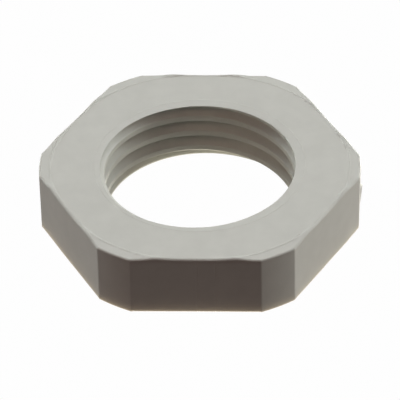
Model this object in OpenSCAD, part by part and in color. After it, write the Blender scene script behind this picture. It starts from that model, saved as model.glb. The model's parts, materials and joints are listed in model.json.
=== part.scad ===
// Hexagonal locknut for a cable gland, moulded in one piece.
// The seating face lies on z = 0, the thread runs along +Z and a wrench flat faces -Y.

/* [Body] */
// Distance between opposite wrench flats
across_flats = 22; // [20:0.5:27]
// Thickness between the seating face and the top face
thickness = 5; // [3.5:0.1:8]
// How far each corner is turned back from the sharp hexagon
corner_relief = 0.74; // [0.2:0.02:1.2]
// Radius along the long edges of the flats
edge_radius = 0.15; // [0.1:0.05:0.3]
// Width of the small bevel on the corners' top and bottom edges
corner_bevel = 0.1; // [0.05:0.01:0.2]
// How far the corners' top falls off outside the ring line, at its outer rim
crescent_fall = 0.04; // [0.02:0.01:0.1]

/* [Thread] */
// Rise of the thread in one turn, 18 turns to the inch
pitch = 1.41; // [1.3:0.01:1.6]
// Diameter at the bottom of the thread groove
major_diameter = 15.2; // [14.6:0.1:16.4]
// Depth of the groove below the crests
thread_depth = 0.5; // [0.3:0.01:0.55]
// Angle between the two flanks of the groove
flank_angle = 80; // [60:1:84]
// Width of the flat at the bottom of the groove
root_flat = 0.17; // [0.1:0.01:0.25]
// Turn about the axis that sets where the groove runs out of the two faces
thread_start = 20; // [0:1:359]

/* [Mouth] */
// Width of the shallow dished ring round the bore, outside the groove
dish_margin = 0.2; // [0.1:0.05:0.6]
// Depth of that dished ring at the bore
dish_depth = 0.05; // [0.02:0.01:0.15]
// Width of the bevel on the crests at the bore's lower end, where the gland enters
lead_in = 0.2; // [0.05:0.01:0.3]

/* [Mould marks] */
// How far outside the flats the mould insert's ring line runs
ring_offset = 0.17; // [0.15:0.01:0.3]
// Width of the ring line where it rises from the top face
ring_width = 0.28; // [0.1:0.02:0.3]
// Height of the ring line above the top face
ring_height = 0.1; // [0.02:0.01:0.15]
// Radius of the gate stub left on one corner
stub_radius = 0.5; // [0.3:0.05:0.8]
// How far the stub's upper end stands out of the corner
stub_proud = 0.15; // [0.05:0.01:0.2]
// How far the stub's lower end lies inside the corner
stub_sink = 0.04; // [0.02:0.01:0.1]
// Height of the stub's tapered lower end above the seating face
stub_bottom = 0.8; // [0.5:0.1:1.5]
// Height of the stub's square upper end above the seating face
stub_top = 3; // [2.2:0.1:3.2]

/* [Hidden] */
$fn = 96;
// Turn between two sections of the swept groove
section_turn = 6;
// How far the cutting shapes reach past the surfaces they cut
overlap = 0.1;
// Share of the rounded edge over which the ring line runs out
ring_run = 0.4;
corner_radius = across_flats / 2 / cos(30) - corner_relief;
crest_radius = major_diameter / 2 - thread_depth;
dish_radius = major_diameter / 2 + dish_margin;
ring_radius = across_flats / 2 + ring_offset;
// Distance from the axis at which the ring line is cut off above each flat
ring_reach = across_flats / 2 - (1 - ring_run) * edge_radius;

// Half the groove's width at a radius, between its sloping flanks
function groove_half_width(r) = root_flat / 2 + (major_diameter / 2 - r) * tan(flank_angle / 2);

// A bar across the nut that carries one pair of flats, with its four long edges rounded
module flat_pair(width, height, radius) {
    length = 2 * width;
    rotate([90, 0, 90])
        translate([0, 0, -length / 2])
            linear_extrude(length)
                union() {
                    translate([-width / 2, radius])
                        square([width, height - 2 * radius]);
                    translate([-width / 2 + radius, 0])
                        square([width - 2 * radius, height]);
                    for (side = [-1, 1], level = [radius, height - radius])
                        translate([side * (width / 2 - radius), level])
                            circle(radius);
                }
}

// The disc that turns the six corners to one diameter, breaks their edges and slopes their tops
module corner_disc() {
    rim = thickness - crescent_fall;
    rotate_extrude()
        polygon([
            [0, 0],
            [corner_radius - corner_bevel, 0],
            [corner_radius, corner_bevel],
            [corner_radius, rim - corner_bevel],
            [corner_radius - corner_bevel, rim],
            [ring_radius, thickness],
            [0, thickness]
        ]);
}

// The hexagon with rounded edges and turned corners
module turned_hexagon() {
    intersection() {
        intersection_for (turn = [0, 60, 120])
            rotate([0, 0, turn])
                flat_pair(across_flats, thickness, edge_radius);
        corner_disc();
    }
}

// The fine raised line that a round mould insert leaves across the six corners, as deep in as it is high
module insert_ring() {
    intersection() {
        rotate_extrude()
            polygon([
                [ring_radius - ring_width, thickness - ring_height],
                [ring_radius + ring_width, thickness - ring_height],
                [ring_radius, thickness + ring_height]
            ]);
        cylinder(h = thickness + 2 * ring_height, r = ring_reach / cos(30), $fn = 6);
    }
}

// What is left of the gate on the +X corner, square on top and tapering downwards
module gate_stub() {
    translate([corner_radius - stub_radius, 0, stub_bottom])
        cylinder(h = stub_top - stub_bottom, r1 = stub_radius - stub_sink, r2 = stub_radius + stub_proud);
}

// The thread's groove, one section swept up a helix past both faces
module thread_groove() {
    inner = crest_radius - overlap;
    outer = major_diameter / 2;
    section = [
        [inner, -groove_half_width(inner)],
        [outer, -root_flat / 2],
        [outer, root_flat / 2],
        [inner, groove_half_width(inner)]
    ];
    corners = len(section);
    turns = ceil(thickness / pitch) + 2;
    steps = turns * 360 / section_turn;
    points = [
        for (step = [0:steps])
            let (angle = thread_start + step * section_turn)
            let (rise = pitch * (step * section_turn / 360 - 1))
            for (corner = section)
                [corner[0] * cos(angle), corner[0] * sin(angle), corner[1] + rise]
    ];
    ends = [
        [for (k = [corners - 1:-1:0]) k],
        [for (k = [0:corners - 1]) steps * corners + k]
    ];
    sides = [
        for (step = [0:steps - 1], k = [0:corners - 1])
            let (next = (k + 1) % corners)
            let (here = step * corners)
            let (there = here + corners)
            each [
                [here + k, there + next, there + k],
                [here + k, here + next, there + next]
            ]
    ];
    polyhedron(points, concat(ends, sides), convexity = 10);
}

// The bore at the crests, with the bevel at its lower end and the dished ring round its mouth
module bore() {
    rotate_extrude()
        polygon([
            [0, -overlap],
            [crest_radius + lead_in + overlap, -overlap],
            [crest_radius, lead_in],
            [crest_radius, thickness - dish_depth],
            [dish_radius, thickness],
            [dish_radius, thickness + overlap],
            [0, thickness + overlap]
        ]);
}

module locknut() {
    color([0.66, 0.66, 0.63])
        difference() {
            union() {
                turned_hexagon();
                insert_ring();
                gate_stub();
            }
            bore();
            thread_groove();
        }
}

locknut();
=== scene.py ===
"""Cable gland locknut: the moulded nut in detail, its material, the studio light and the camera."""

import json
import math

import bmesh
import bpy
import numpy as np
from mathutils import Matrix, Vector


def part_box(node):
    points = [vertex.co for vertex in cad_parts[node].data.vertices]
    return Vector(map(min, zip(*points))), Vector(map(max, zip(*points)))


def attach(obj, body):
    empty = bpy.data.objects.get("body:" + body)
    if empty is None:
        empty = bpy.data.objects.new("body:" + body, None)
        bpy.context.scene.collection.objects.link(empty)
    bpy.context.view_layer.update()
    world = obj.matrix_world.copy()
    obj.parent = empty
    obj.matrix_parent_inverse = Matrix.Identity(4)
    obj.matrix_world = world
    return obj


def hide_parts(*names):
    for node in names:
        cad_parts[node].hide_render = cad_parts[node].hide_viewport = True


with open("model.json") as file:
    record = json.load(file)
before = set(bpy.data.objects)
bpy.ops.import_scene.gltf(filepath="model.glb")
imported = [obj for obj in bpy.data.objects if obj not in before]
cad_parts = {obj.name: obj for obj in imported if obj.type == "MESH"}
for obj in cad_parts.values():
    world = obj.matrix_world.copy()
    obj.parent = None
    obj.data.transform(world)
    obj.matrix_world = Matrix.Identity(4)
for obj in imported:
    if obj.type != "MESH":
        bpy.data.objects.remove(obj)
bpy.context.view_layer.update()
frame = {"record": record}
MM = 0.001

# Sizes are in millimetres and turns round the axis in degrees, except where a comment says otherwise

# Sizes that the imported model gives
node_low, node_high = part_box("locknut")
mounts = {mount["name"]: mount for mount in frame["record"]["mounts"]}
THICKNESS = mounts["thread"]["dims"]["length_mm"]
CREST_RADIUS = mounts["thread"]["dims"]["r_mm"]
FLAT_RADIUS = node_high[1] / MM
STUB_REACH = node_high[0] / MM
RING_HEIGHT = node_high[2] / MM - THICKNESS
# The turned corners are this much wider than the solid's reach on the -X side
CORNER_GAIN = 0.02
CORNER_RADIUS = -node_low[0] / MM + CORNER_GAIN

# Thread, with the rise and the start of the solid's groove and a deeper root
PITCH = 1.41
GROOVE_DEPTH = 0.57
HALF_ANGLE = 40
ROOT_FLAT = 0.05
THREAD_START = 20
THREAD_BLEND = 0.02
# Above this height the groove gets shallower and turns as it runs out of the top face
RUNOUT_START = 4.2
RUNOUT_DEPTH = 0.15
RUNOUT_TURN = 10
TOP_LIP = 0.04
BOTTOM_LIP = 0.28

# Outline and edges
FLAT_TURNS = (30, 90, 150, 210, 270, 330)
EDGE_RADIUS = 0.15
BEVEL = 0.1
TOP_SOFTENING = 0.07
VERTICAL_BLEND = 0.03
# How far inside the corners' diameter an edge passes from a flat's rounding to a corner's bevel
CORNER_RUN = 0.05
# Turn of each faint line on the front flat, and its depth
WITNESS_LINES = {270.4: 0.012, 277.3: 0.008}
WITNESS_WIDTH = 0.4
WORN_TURNS = (327, 349.5)
WORN_RUN = 1.5
WORN_DEPTH = 0.04
# Turn of each corner that falls short of its diameter, and by how much at the bottom and the top
SLACK_CORNERS = {8: (0.14, 0.03), 180: (0.05, 0.05)}
# Turn from the middle of a flat to the corner that it meets
JUNCTION_TURN = math.degrees(math.acos(FLAT_RADIUS / CORNER_RADIUS))

# Mouth ring, mould line and crescents
DISH_RADIUS = 7.8
DISH_DEPTH = 0.05
RIM_HEIGHT = 0.02
RIM_FALL = 0.08
RING_RADIUS = FLAT_RADIUS + 0.1
RING_SHIFT = 0.08
RING_WIDTH = 0.28
RING_LINE = 0.03
SPUR_LENGTH = 0.3
SPUR_SPREAD = 1.5
CRESCENT_DROP = 0.06

# Gate stub on the corner that points along +X
STUB_RADIUS = 0.5
STUB_BOTTOM = 1.3
STUB_TOP = 3.0
STUB_SINK = 0.06
STUB_WEAR = 0.04

# Columns of the mesh: the usual step, and the steps in the places that need closer ones
COLUMN_STEP = 1
JUNCTION_STEPS = (-0.6, -0.35, -0.2, -0.1, 0, 0.1, 0.2, 0.35, 0.6)
JUNCTION_CLEARANCE = 0.75
STUB_STEPS = (-2.2, -1.9, -1.65, -1.4, -1, -0.5, 0, 0.5, 1, 1.4, 1.65, 1.9, 2.2)
STUB_CLEARANCE = 2.5
WITNESS_STEPS = [step * WITNESS_WIDTH for step in (-1.2, -1, -0.5, 0, 0.5, 1, 1.2)]
WITNESS_CLEARANCE = WITNESS_WIDTH + 0.2

# Rows of the mesh: distances from the groove's middle, shares of a stretch, radii and heights.
# The mould line's rows are in halves of its width.
GROOVE_ROWS = (0.012, 0.025, 0.04, 0.085, 0.16, 0.26, 0.38, 0.46, 0.49, 0.505, 0.52, 0.55, 0.62)
FIRST_TURN = -2
DISH_SHARES = (0.08, 0.5, 0.92, 1)
RIM_SHARES = (0.5, 1, 1.3)
FACE_RADII = (8.4, 9.1, 9.8, 10.5)
RING_ROWS = (-2.2, -1.8, -1.4, -1, -0.75, -0.5, -0.25, 0, 0.25, 0.5, 0.75, 1, 1.3)
CRESCENT_SHARES = (0.4, 0.8, 1)
UPPER_WALL = (4.6, 4.4, 3.7)
STUB_ROWS = (STUB_TOP + 0.03, STUB_TOP - 0.01, STUB_TOP - 0.06)
LOWER_WALL = (2.3, 1.6, 1.26, 1.0, 0.6, 0.26)
SEAT_SHARES = (0.25, 0.5, 0.75, 0.98)
EDGE_MARGIN = 0.02
ARC_STEPS = 6
LIP_ROUNDS = 20
MERGE = 0.002


def smooth_min(a, b, blend):
    """The smaller of two values, with a round transition that is blend wide."""
    h = np.clip((blend - np.abs(a - b)) / blend, 0, 1)
    return np.minimum(a, b) - h * h * blend / 4


def smooth_max(a, b, blend):
    """The larger of two values, with a round transition that is blend wide."""
    return -smooth_min(-a, -b, blend)


def apart(turns, turn):
    """Degrees between one or more turns and another, the short way round."""
    return abs((turns - turn + 180) % 360 - 180)


def column_turns():
    """Turns of the mesh's columns, closer at the outline's corners, the stub and the witness lines."""
    junctions = [turn + side * JUNCTION_TURN for turn in FLAT_TURNS for side in (-1, 1)]
    places = [(turn, JUNCTION_STEPS, JUNCTION_CLEARANCE) for turn in junctions]
    places += [(0, STUB_STEPS, STUB_CLEARANCE)]
    places += [(turn, WITNESS_STEPS, WITNESS_CLEARANCE) for turn in WITNESS_LINES]
    turns = list(np.arange(0, 360, COLUMN_STEP))
    for place, steps, clearance in places:
        turns = [turn for turn in turns if apart(turn, place) > clearance]
        turns += [place + step for step in steps]
    return np.array(sorted(turn % 360 for turn in turns))


TURNS = column_turns()
RADIANS = np.radians(TURNS)


def outline():
    """Distance from the axis to the outer wall at every column."""
    nearest = np.min([apart(TURNS, turn) for turn in FLAT_TURNS], axis=0)
    sunk = np.zeros_like(TURNS)
    for turn, depth in WITNESS_LINES.items():
        sunk = np.maximum(sunk, depth * np.clip(1 - apart(TURNS, turn) / WITNESS_WIDTH, 0, 1))
    flat = (FLAT_RADIUS - sunk) / np.cos(np.radians(nearest))
    return smooth_min(flat, np.full_like(flat, CORNER_RADIUS), VERTICAL_BLEND)


def slack(height):
    """How far the two corners on the X axis fall short of their diameter at a height."""
    short = np.zeros_like(TURNS)
    for turn, (low, high) in SLACK_CORNERS.items():
        near = np.clip(1 - (apart(TURNS, turn) / JUNCTION_TURN) ** 2, 0, 1)
        short += (low + (high - low) * height / THICKNESS) * near
    return short


OUTLINE = outline()
RING = RING_RADIUS - RING_SHIFT * np.sin(RADIANS)
ON_CORNER = np.clip((OUTLINE - CORNER_RADIUS) / CORNER_RUN + 1, 0, 1)
EDGE = EDGE_RADIUS + (BEVEL - EDGE_RADIUS) * ON_CORNER
TOP_EDGE = EDGE + TOP_SOFTENING
TOP_LIMIT = OUTLINE - TOP_EDGE - slack(THICKNESS)
WORN = np.clip(np.minimum(TURNS - WORN_TURNS[0], WORN_TURNS[1] - TURNS) / WORN_RUN, 0, 1)
LOW_EDGE = EDGE + WORN_DEPTH * WORN
LOW_LIMIT = OUTLINE - LOW_EDGE - slack(0)


def thread_radius(height):
    """Distance from the axis to the bore's wall at a height, groove and crest blended."""
    runout = np.clip((height - RUNOUT_START) / (THICKNESS - RUNOUT_START), 0, 1)
    along = height - PITCH * (TURNS - THREAD_START - RUNOUT_TURN * runout) / 360
    along = np.abs((along + PITCH / 2) % PITCH - PITCH / 2)
    slope = 1 / math.tan(math.radians(HALF_ANGLE))
    major = CREST_RADIUS + GROOVE_DEPTH - RUNOUT_DEPTH * runout
    flank = major - (along - ROOT_FLAT / 2) * slope
    groove = smooth_min(flank, major, THREAD_BLEND)
    return smooth_max(groove, np.full_like(flank, CREST_RADIUS), THREAD_BLEND)


def top_height(radius):
    """Height of the top face at a radius: the shallow dish round the mouth, and its rim."""
    share = np.clip((radius - CREST_RADIUS) / (DISH_RADIUS - CREST_RADIUS), 0, 1)
    fall = np.clip((radius - DISH_RADIUS) / RIM_FALL, 0, 1)
    return THICKNESS - DISH_DEPTH * (1 - share) + RIM_HEIGHT * (share - fall)


def outer_height(radius):
    """Height of the top face near the corners: the mould line, its spurs and the slight fall outside it."""
    share = np.clip((radius - RING) / (CORNER_RADIUS - BEVEL - RING), 0, 1)
    near = np.clip(1 - (TOP_LIMIT - radius) / SPUR_LENGTH, 0, 1)
    across = np.clip(1 - np.abs(radius - RING) / (RING_WIDTH / 2 * (1 + SPUR_SPREAD * near)), 0, 1)
    ridge = across * across * (3 - 2 * across)
    rise = RING_LINE + (RING_HEIGHT - RING_LINE) * near
    return THICKNESS - CRESCENT_DROP * share + rise * ridge


def lip(height_of, round_off):
    """Radius and height where the mouth's rounding ends on a face, found by going back and forth."""
    radius = np.full_like(TURNS, CREST_RADIUS + GROOVE_DEPTH / 2)
    for _ in range(LIP_ROUNDS):
        height = height_of(radius)
        radius = thread_radius(height) + round_off
    return radius, height


def bore_rows(low, high):
    """Rows that follow the helix, held between the two lips, and how many there are in one turn."""
    offsets = sorted([-o for o in GROOVE_ROWS] + [0] + list(GROOVE_ROWS) + [PITCH / 2])
    last_turn = math.ceil(THICKNESS / PITCH) + 1
    rows = []
    for turn in range(FIRST_TURN, last_turn + 1):
        for offset in offsets:
            height = PITCH * (turn + (TURNS - THREAD_START) / 360) + offset
            height = np.clip(height, low, high)
            rows.append((thread_radius(height), height))
    return rows, len(offsets)


def lip_rows(edge, round_off, up):
    """Rows of the rounding between the bore's wall and a face. up is 1 at the top, -1 below."""
    rows = []
    for angle in np.linspace(0, math.pi / 2, ARC_STEPS):
        height = edge - up * round_off * (1 - math.sin(angle))
        radius = thread_radius(height) + round_off * (1 - math.cos(angle))
        rows.append((radius, height))
    return rows if up > 0 else rows[::-1]


def face_rows():
    """Rows of the top face from the dish to the rounded outer edge."""
    rows = []
    lip_radius, _ = lip(top_height, TOP_LIP)
    for share in DISH_SHARES:
        radius = lip_radius + (DISH_RADIUS - lip_radius) * share
        rows.append((radius, top_height(radius)))
    for share in RIM_SHARES:
        radius = np.full_like(TURNS, DISH_RADIUS + RIM_FALL * share)
        rows.append((radius, top_height(radius)))
    for radius in FACE_RADII:
        rows.append((np.full_like(TURNS, radius), np.full_like(TURNS, THICKNESS)))
    outer = TOP_LIMIT - EDGE_MARGIN
    for step in RING_ROWS:
        radius = np.minimum(RING + step * RING_WIDTH / 2, outer)
        rows.append((radius, outer_height(radius)))
    start = np.minimum(RING + RING_ROWS[-1] * RING_WIDTH / 2, outer)
    for share in CRESCENT_SHARES:
        radius = start + (outer - start) * share
        rows.append((radius, outer_height(radius)))
    return rows


def stub_outline(height):
    """The outline with the gate stub standing out of the corner, tapering downwards."""
    wall = OUTLINE - slack(height)
    if not STUB_BOTTOM <= height <= STUB_TOP:
        return wall
    share = (height - STUB_BOTTOM) / (STUB_TOP - STUB_BOTTOM)
    proud = STUB_REACH - CORNER_RADIUS - STUB_WEAR
    radius = STUB_RADIUS - STUB_SINK + (proud + STUB_SINK) * share
    centre = CORNER_RADIUS - STUB_RADIUS
    aside = np.where(np.cos(RADIANS) > 0, centre * np.sin(RADIANS), radius)
    reach = centre * np.cos(RADIANS) + np.sqrt(np.clip(radius**2 - aside**2, 0, None))
    return np.where(np.abs(aside) < radius, np.maximum(wall, reach), wall)


def wall_rows():
    """Rows of the rounded outer edges and the wall between them, from the top down."""
    rows = []
    top = outer_height(TOP_LIMIT)
    for angle in np.linspace(0, math.pi / 2, ARC_STEPS + 1):
        rows.append((TOP_LIMIT + TOP_EDGE * math.sin(angle), top - TOP_EDGE * (1 - math.cos(angle))))
    for height in UPPER_WALL + STUB_ROWS + LOWER_WALL:
        rows.append((stub_outline(height), np.full_like(TURNS, height)))
    for angle in np.linspace(math.pi / 2, 0, ARC_STEPS + 1):
        rows.append((LOW_LIMIT + LOW_EDGE * math.sin(angle), LOW_EDGE * (1 - math.cos(angle))))
    return rows


def seat_rows():
    """Rows of the seating face from the outer edge in to the bore's lower lip."""
    radius, _ = lip(np.zeros_like, BOTTOM_LIP)
    rows = [(LOW_LIMIT - EDGE_MARGIN, np.zeros_like(TURNS))]
    for share in SEAT_SHARES:
        rows.append((LOW_LIMIT + (radius - LOW_LIMIT) * share, np.zeros_like(TURNS)))
    return rows


def ring_faces(row_count, bore_count, per_turn):
    """Faces between each row and the next. At 0 degrees a row of the bore meets the one a turn on."""
    count = len(TURNS)
    faces = []
    for row in range(row_count):
        above = (row + 1) % row_count
        for column in range(count):
            across = (column + 1) % count
            here, there = row, above
            if across == 0 and row < bore_count:
                here = min(row + per_turn, bore_count - 1)
                there = min(above + per_turn, bore_count - 1) if above < bore_count else above
            corners = ((row, column), (above, column), (there, across), (here, across))
            faces.append([r * count + c for r, c in corners])
    return faces


def nut_mesh():
    """The whole nut as one closed mesh: the bore, the top face, the outer wall and the seating face."""
    _, top_edge = lip(top_height, TOP_LIP)
    floor = np.zeros_like(TURNS)
    bore, per_turn = bore_rows(floor + BOTTOM_LIP, top_edge - TOP_LIP)
    rows = bore + lip_rows(top_edge, TOP_LIP, 1) + face_rows() + wall_rows()
    rows += seat_rows() + lip_rows(floor, BOTTOM_LIP, -1)
    radii = np.array([radius for radius, _ in rows])
    heights = np.array([height for _, height in rows])
    points = np.stack([radii * np.cos(RADIANS), radii * np.sin(RADIANS), heights], axis=-1) * MM
    mesh = bpy.data.meshes.new("nut")
    mesh.from_pydata(points.reshape(-1, 3).tolist(), [], ring_faces(len(rows), len(bore), per_turn))
    work = bmesh.new()
    work.from_mesh(mesh)
    bmesh.ops.remove_doubles(work, verts=work.verts, dist=MERGE * MM)
    bmesh.ops.dissolve_degenerate(work, edges=work.edges, dist=MERGE * MM / 10)
    bmesh.ops.recalc_face_normals(work, faces=work.faces)
    for face in work.faces:
        face.smooth = True
    work.to_mesh(mesh)
    work.free()
    return mesh


# Polyamide: scales are in waves per metre, the colour's spread is a share of its value
CLOUD_SCALE = 700
CLOUD_SPREAD = 0.03
GLOSS_SCALE = 1500
ROUGHNESS = (0.48, 0.58)
GRAIN_SCALE = 6000
GRAIN_STRENGTH = 0.12
GRAIN_DEPTH = 0.02
RAMP_ENDS = (0.3, 0.7)


def polyamide():
    """Satin moulded polyamide: faint clouding of the colour and the gloss, and a very fine grain."""
    material = bpy.data.materials.new("polyamide")
    material.use_nodes = True
    tree = material.node_tree
    shader = tree.nodes["Principled BSDF"]
    place = tree.nodes.new("ShaderNodeTexCoord")

    def noise(scale, detail):
        node = tree.nodes.new("ShaderNodeTexNoise")
        node.inputs["Scale"].default_value = scale
        node.inputs["Detail"].default_value = detail
        tree.links.new(place.outputs["Object"], node.inputs["Vector"])
        return node

    def ramp(source, colours):
        node = tree.nodes.new("ShaderNodeValToRGB")
        for element, position, colour in zip(node.color_ramp.elements, RAMP_ENDS, colours):
            element.position = position
            element.color = (*colour, 1)
        tree.links.new(source.outputs["Fac"], node.inputs["Fac"])
        return node

    base = next(m for m in frame["record"]["materials"] if m["slot"] == "polyamide")["base_color"]
    shades = [[side * c for c in base[:3]] for side in (1 - CLOUD_SPREAD, 1 + CLOUD_SPREAD)]
    colour = ramp(noise(CLOUD_SCALE, 4), shades)
    tree.links.new(colour.outputs["Color"], shader.inputs["Base Color"])
    gloss = ramp(noise(GLOSS_SCALE, 3), [(value,) * 3 for value in ROUGHNESS])
    tree.links.new(gloss.outputs["Color"], shader.inputs["Roughness"])
    grain = tree.nodes.new("ShaderNodeBump")
    grain.inputs["Strength"].default_value = GRAIN_STRENGTH
    grain.inputs["Distance"].default_value = GRAIN_DEPTH * MM
    tree.links.new(noise(GRAIN_SCALE, 2).outputs["Fac"], grain.inputs["Height"])
    tree.links.new(grain.outputs["Normal"], shader.inputs["Normal"])
    return material


nut = bpy.data.objects.new("moulded_nut", nut_mesh())
bpy.context.scene.collection.objects.link(nut)
nut.data.materials.append(polyamide())
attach(nut, "root")
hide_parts("locknut")

# Camera: where it stands, its lens, and how far its aim lies from the origin
CAMERA_AZIMUTH = 2.541
CAMERA_ELEVATION = 39.169
CAMERA_ROLL = -1.369
CAMERA_DISTANCE = 283.4
CAMERA_LENS = 340.0
SENSOR_WIDTH = 36
AIM_RIGHT = -0.072
AIM_UP = 1.471
AIM_LIFT = -0.32
# Nearest and farthest distance that the camera sees, in metres
CLIP_RANGE = (0.01, 10)


def place_camera():
    """The camera at the photo's viewing angle, with the picture's slight roll."""
    azimuth, elevation = math.radians(CAMERA_AZIMUTH), math.radians(CAMERA_ELEVATION)
    roll = math.radians(CAMERA_ROLL)
    level = math.cos(elevation)
    back = Vector((math.sin(azimuth) * level, -math.cos(azimuth) * level, math.sin(elevation)))
    right = Vector((math.cos(azimuth), math.sin(azimuth), 0))
    up = back.cross(right)
    rolled_right = right * math.cos(roll) + up * math.sin(roll)
    rolled_up = up * math.cos(roll) - right * math.sin(roll)
    data = bpy.data.cameras.new("camera")
    data.lens = CAMERA_LENS
    data.sensor_width = SENSOR_WIDTH
    data.clip_start, data.clip_end = CLIP_RANGE
    camera = bpy.data.objects.new("camera", data)
    aim = rolled_right * AIM_RIGHT + rolled_up * AIM_UP + Vector((0, 0, AIM_LIFT))
    axes = Matrix((rolled_right, rolled_up, back)).transposed().to_4x4()
    camera.matrix_world = Matrix.Translation((aim + back * CAMERA_DISTANCE) * MM) @ axes
    bpy.context.scene.collection.objects.link(camera)
    bpy.context.scene.camera = camera


# White floor and dome, as the camera sees them
STAGE_RADIUS = 900
STAGE_WHITE = (0.99, 0.99, 0.99)
DOME_SEGMENTS = 96

# Glow of the white surroundings as the nut receives it, and how far under the nut the glowing rings lie
BORE_FLOOR_GLOW = (0.02, 0.02, 0.01)
BORE_FLOOR_GAP = 0.3
LIP_GLOW = (1.4, 1.3, 1.0)
FOOT_GLOW = (1.4, 1.1, 0.75)
EDGE_GLOW_GAP = 0.05
DOME_SHEEN = (0.44, 0.35, 0.35)

# How far the rings under the bore's lip and the outer edge reach inwards and outwards
LIP_GLOW_REACH = (0.2, 0.4)
FOOT_GLOW_REACH = (0.3, 0.25)


def glowing(name, colour):
    """A material that only shines."""
    material = bpy.data.materials.new(name)
    material.use_nodes = True
    tree = material.node_tree
    tree.nodes.clear()
    glow = tree.nodes.new("ShaderNodeEmission")
    glow.inputs["Color"].default_value = (*colour, 1)
    out = tree.nodes.new("ShaderNodeOutputMaterial")
    tree.links.new(glow.outputs["Emission"], out.inputs["Surface"])
    return material


def ring(name, inner, outer, height):
    """A flat ring round the axis, facing up. Its two radii are numbers, or one number for each column."""
    count = len(TURNS)
    points = []
    for radius in (outer, inner):
        x, y = radius * np.cos(RADIANS), radius * np.sin(RADIANS)
        points += (np.stack([x, y, np.full(count, height)], axis=-1) * MM).tolist()
    faces = [(k, (k + 1) % count, (k + 1) % count + count, k + count) for k in range(count)]
    mesh = bpy.data.meshes.new(name)
    mesh.from_pydata(points, [], faces)
    piece = bpy.data.objects.new(name, mesh)
    bpy.context.scene.collection.objects.link(piece)
    return piece


def dome(name):
    """A sphere round the whole stage."""
    bpy.ops.mesh.primitive_uv_sphere_add(
        segments=DOME_SEGMENTS, ring_count=DOME_SEGMENTS // 2, radius=STAGE_RADIUS * MM, location=(0, 0, 0)
    )
    bpy.context.object.name = name
    return bpy.context.object


def shine(piece, colour, seen, lights, mirrored):
    """Makes a stage piece glow, seen by the camera, lighting the nut, or mirrored in it."""
    piece.data.materials.append(glowing(piece.name, colour))
    piece.visible_camera = seen
    piece.visible_diffuse = lights
    piece.visible_glossy = mirrored
    piece.visible_transmission = False
    piece.visible_shadow = False


def white_stage():
    """A white floor and dome as the camera sees them, and what they give to the nut."""
    shine(ring("floor", 0, STAGE_RADIUS, 0), STAGE_WHITE, True, False, False)
    shine(dome("dome"), STAGE_WHITE, True, False, False)
    lip_inner, lip_outer = CREST_RADIUS - LIP_GLOW_REACH[0], CREST_RADIUS + LIP_GLOW_REACH[1]
    foot_inner, foot_outer = OUTLINE - FOOT_GLOW_REACH[0], OUTLINE + FOOT_GLOW_REACH[1]
    glows = {
        "bore_floor_glow": (0, CREST_RADIUS, BORE_FLOOR_GAP, BORE_FLOOR_GLOW),
        "lip_glow": (lip_inner, lip_outer, EDGE_GLOW_GAP, LIP_GLOW),
        "foot_glow": (foot_inner, foot_outer, EDGE_GLOW_GAP, FOOT_GLOW),
    }
    for name, (inner, outer, gap, colour) in glows.items():
        shine(ring(name, inner, outer, -gap), colour, False, True, True)
    shine(dome("dome_sheen"), DOME_SHEEN, False, False, True)


# Tints of the lamps
WHITE = (1.0, 1.0, 1.0)
DAYLIGHT = (0.91, 1.0, 0.97)
CREAM = (1.0, 0.96, 0.87)
WARM = (1.0, 0.67, 0.52)

# Lamps: turn and height of the direction they shine from, strength in watts, and tint
LAMPS = {
    "overhead": (90, 75, 0.95, WHITE),
    "window_left": (150, 12, 0.8, DAYLIGHT),
    "window_high_left": (135, 55, 0.5, DAYLIGHT),
    "window_right": (30, 12, 0.45, DAYLIGHT),
    "window_high_right": (30, 35, 0.55, DAYLIGHT),
    "side_right": (8, 12, 0.4, CREAM),
    "fill_left": (210, 35, 0.2, WARM),
    "fill_right": (315, 55, 0.12, WARM),
    "table": (0, -90, 1.4, CREAM),
    "table_left": (180, -20, 0.2, CREAM),
    "table_back_left": (120, -20, 0.65, CREAM),
    "table_back_right": (60, -20, 1.65, CREAM),
    "table_right": (0, -20, 0.55, CREAM),
}
# Width and distance of every lamp, in metres
LAMP_WIDTH = 0.2
LAMP_DISTANCE = 0.5
AMBIENT = (0.019, 0.0165, 0.018)


def studio_light():
    """Round soft lamps above and below the nut, all at one distance, and a faint even light."""
    for name, (turn, height, power, colour) in LAMPS.items():
        data = bpy.data.lights.new(name, "AREA")
        data.shape = "DISK"
        data.size = LAMP_WIDTH
        data.energy = power
        data.color = colour
        lamp = bpy.data.objects.new(name, data)
        turn, height = math.radians(turn), math.radians(height)
        level = math.cos(height)
        away = Vector((math.cos(turn) * level, math.sin(turn) * level, math.sin(height)))
        lamp.location = away * LAMP_DISTANCE
        lamp.rotation_mode = "QUATERNION"
        lamp.rotation_quaternion = away.to_track_quat("Z", "Y")
        lamp.visible_camera = False
        bpy.context.scene.collection.objects.link(lamp)
    world = bpy.data.worlds.new("world")
    world.use_nodes = True
    world.node_tree.nodes["Background"].inputs["Color"].default_value = (*AMBIENT, 1)
    bpy.context.scene.world = world


place_camera()
white_stage()
studio_light()
bpy.context.scene.view_settings.view_transform = "Standard"
